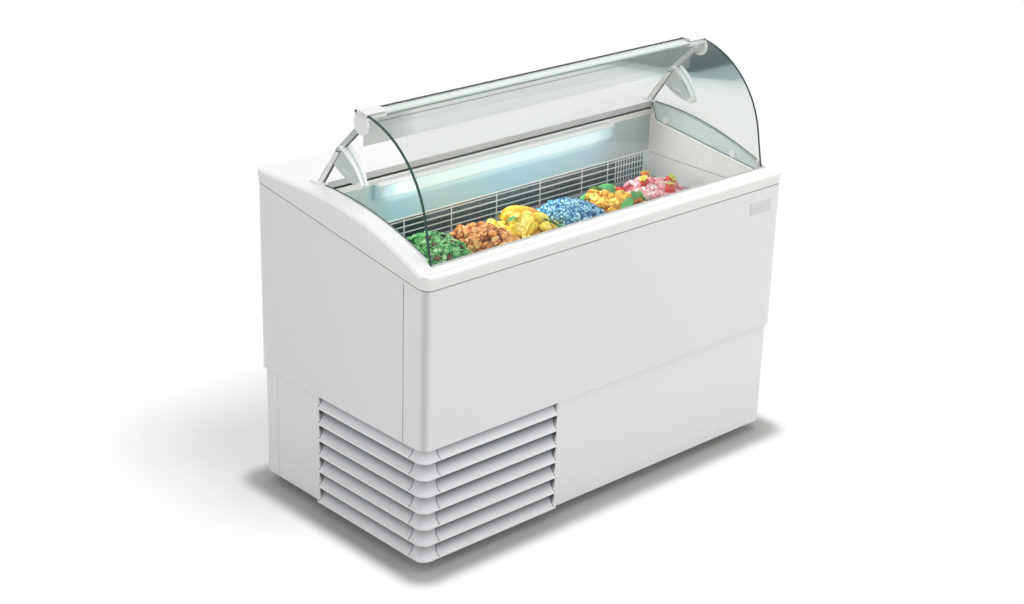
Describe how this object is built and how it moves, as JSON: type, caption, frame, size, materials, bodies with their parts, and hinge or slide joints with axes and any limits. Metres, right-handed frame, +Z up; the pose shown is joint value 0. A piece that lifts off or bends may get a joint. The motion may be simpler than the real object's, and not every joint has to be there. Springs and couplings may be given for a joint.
{
  "type": "ice cream display cabinet",
  "caption": "Free-standing scooping cabinet: hinged curved glass front, a row of lift-out pans, arched end frames, a rear worktop, a lamp and a louvred corner in the plinth.",
  "frame": {"origin": "centre of the footprint on the floor", "axes": "+X along the length to the customer's right, +Y from the customer's side to the server's side, +Z up"},
  "size_m": [1.32, 0.69, 1.137],
  "materials": {
    "frame_plastic": "smooth moulded warm white",
    "skin_paint": "satin light grey white",
    "plinth_paint": "satin light grey white",
    "grille_plastic": "satin cool grey white",
    "chassis_steel": "dark grey coating",
    "foot_plastic": "matt black",
    "foam": "rigid foam",
    "liner_plastic": "smooth white",
    "plate_plastic": "satin blue grey",
    "wall_plastic": "satin pale blue",
    "lamp_diffuser": "milky, lit from behind",
    "lamp_glass": "lit tube",
    "grid_plastic": "satin white",
    "bed_plastic": "satin white",
    "pan_steel": "brushed",
    "mint": "frozen cream with dark flakes",
    "apricot": "frozen cream with fruit pieces",
    "lemon": "frozen cream with citrus pieces",
    "sky": "frozen cream, rough",
    "peach": "frozen cream with fruit balls",
    "strawberry": "frozen cream with berries",
    "strut_paint": "white coating",
    "arm_plastic": "satin white",
    "rail_paint": "white coating",
    "cap_plastic": "smooth white",
    "lid_glass": "clear with a green edge",
    "strip_metal": "satin",
    "seal_rubber": "matt black",
    "badge_plastic": "plain plate",
    "coil_metal": "bare",
    "fan_plastic": "matt black",
    "machine_paint": "black coating",
    "control_plastic": "satin dark grey",
    "rocker_green": "smooth green",
    "rocker_black": "smooth black"
  },
  "bodies": {
    "cabinet": {"top_frame": "frame_plastic", "skin_front": "skin_paint", "skin_left": "skin_paint", "skin_right": "skin_paint", "skin_rear": "skin_paint", "plinth_front": "plinth_paint", "plinth_right": "plinth_paint", "plinth_rear": "plinth_paint", "plinth_left": "plinth_paint", "grille_front": "grille_plastic", "grille_left": "grille_plastic", "grille_corner": "grille_plastic", "chassis": "chassis_steel", "insulation": "foam", "liner": "liner_plastic", "end_plate_left": "plate_plastic", "end_plate_right": "plate_plastic", "rear_wall": "wall_plastic", "lamp_cover": "lamp_diffuser", "lamp_tube": "lamp_glass", "air_grid": "grid_plastic", "pan_frame": "bed_plastic", "strut_left": "strut_paint", "strut_right": "strut_paint", "arm_left": "arm_plastic", "arm_right": "arm_plastic", "worktop_strip": "strip_metal", "glass_seal": "seal_rubber", "badge": "badge_plastic", "evaporator": "coil_metal", "condenser": "coil_metal", "evaporator_motor": "machine_paint", "condenser_motor": "machine_paint", "compressor": "machine_paint", "control_panel": "control_plastic", "mains_inlet": "control_plastic"},
    "lid": {"glass": "lid_glass", "rail": "rail_paint", "rail_cap_left": "cap_plastic", "rail_cap_right": "cap_plastic"},
    "pan_1_tub": {"pan_1": "pan_steel", "filling_1": "mint"},
    "pan_2_tub": {"pan_2": "pan_steel", "filling_2": "apricot"},
    "pan_3_tub": {"pan_3": "pan_steel", "filling_3": "lemon"},
    "pan_4_tub": {"pan_4": "pan_steel", "filling_4": "sky"},
    "pan_5_tub": {"pan_5": "pan_steel", "filling_5": "peach"},
    "pan_6_tub": {"pan_6": "pan_steel", "filling_6": "strawberry"},
    "evaporator_rotor": {"evaporator_fan": "fan_plastic"},
    "condenser_rotor": {"condenser_fan": "fan_plastic"},
    "power_rocker": {"switch_power": "rocker_green"},
    "light_rocker": {"switch_light": "rocker_black"},
    "foot_front_left_screw": {"foot_front_left": "foot_plastic"},
    "foot_front_right_screw": {"foot_front_right": "foot_plastic"},
    "foot_rear_left_screw": {"foot_rear_left": "foot_plastic"},
    "foot_rear_right_screw": {"foot_rear_right": "foot_plastic"}
  },
  "joints": [
    {"name": "lid_hinge", "type": "hinge", "parent": "cabinet", "child": "lid", "pos_m": [0, -0.041, 1.103], "axis": [-1, 0, 0], "range_deg": [0, 65]},
    {"name": "pan_1_lift", "type": "slide", "parent": "cabinet", "child": "pan_1_tub", "axis": [0, 0, 1], "range_m": [0, 0.12]},
    {"name": "pan_2_lift", "type": "slide", "parent": "cabinet", "child": "pan_2_tub", "axis": [0, 0, 1], "range_m": [0, 0.12]},
    {"name": "pan_3_lift", "type": "slide", "parent": "cabinet", "child": "pan_3_tub", "axis": [0, 0, 1], "range_m": [0, 0.12]},
    {"name": "pan_4_lift", "type": "slide", "parent": "cabinet", "child": "pan_4_tub", "axis": [0, 0, 1], "range_m": [0, 0.12]},
    {"name": "pan_5_lift", "type": "slide", "parent": "cabinet", "child": "pan_5_tub", "axis": [0, 0, 1], "range_m": [0, 0.12]},
    {"name": "pan_6_lift", "type": "slide", "parent": "cabinet", "child": "pan_6_tub", "axis": [0, 0, 1], "range_m": [0, 0.12]},
    {"name": "evaporator_spin", "type": "hinge", "parent": "cabinet", "child": "evaporator_rotor", "pos_m": [0.475, 0.166, 0.575], "axis": [0, 1, 0], "continuous": true},
    {"name": "condenser_spin", "type": "hinge", "parent": "cabinet", "child": "condenser_rotor", "pos_m": [-0.383, -0.203, 0.153], "axis": [0, 1, 0], "continuous": true},
    {"name": "power_rock", "type": "hinge", "parent": "cabinet", "child": "power_rocker", "pos_m": [0.248, 0.33, 0.283], "axis": [1, 0, 0], "range_deg": [-12, 0]},
    {"name": "light_rock", "type": "hinge", "parent": "cabinet", "child": "light_rocker", "pos_m": [0.282, 0.33, 0.283], "axis": [1, 0, 0], "range_deg": [-12, 0]},
    {"name": "foot_front_left_turn", "type": "hinge", "parent": "cabinet", "child": "foot_front_left_screw", "pos_m": [-0.555, -0.27, 0], "axis": [0, 0, 1], "continuous": true},
    {"name": "foot_front_right_turn", "type": "hinge", "parent": "cabinet", "child": "foot_front_right_screw", "pos_m": [0.555, -0.27, 0], "axis": [0, 0, 1], "continuous": true},
    {"name": "foot_rear_left_turn", "type": "hinge", "parent": "cabinet", "child": "foot_rear_left_screw", "pos_m": [-0.555, 0.27, 0], "axis": [0, 0, 1], "continuous": true},
    {"name": "foot_rear_right_turn", "type": "hinge", "parent": "cabinet", "child": "foot_rear_right_screw", "pos_m": [0.555, 0.27, 0], "axis": [0, 0, 1], "continuous": true}
  ]
}
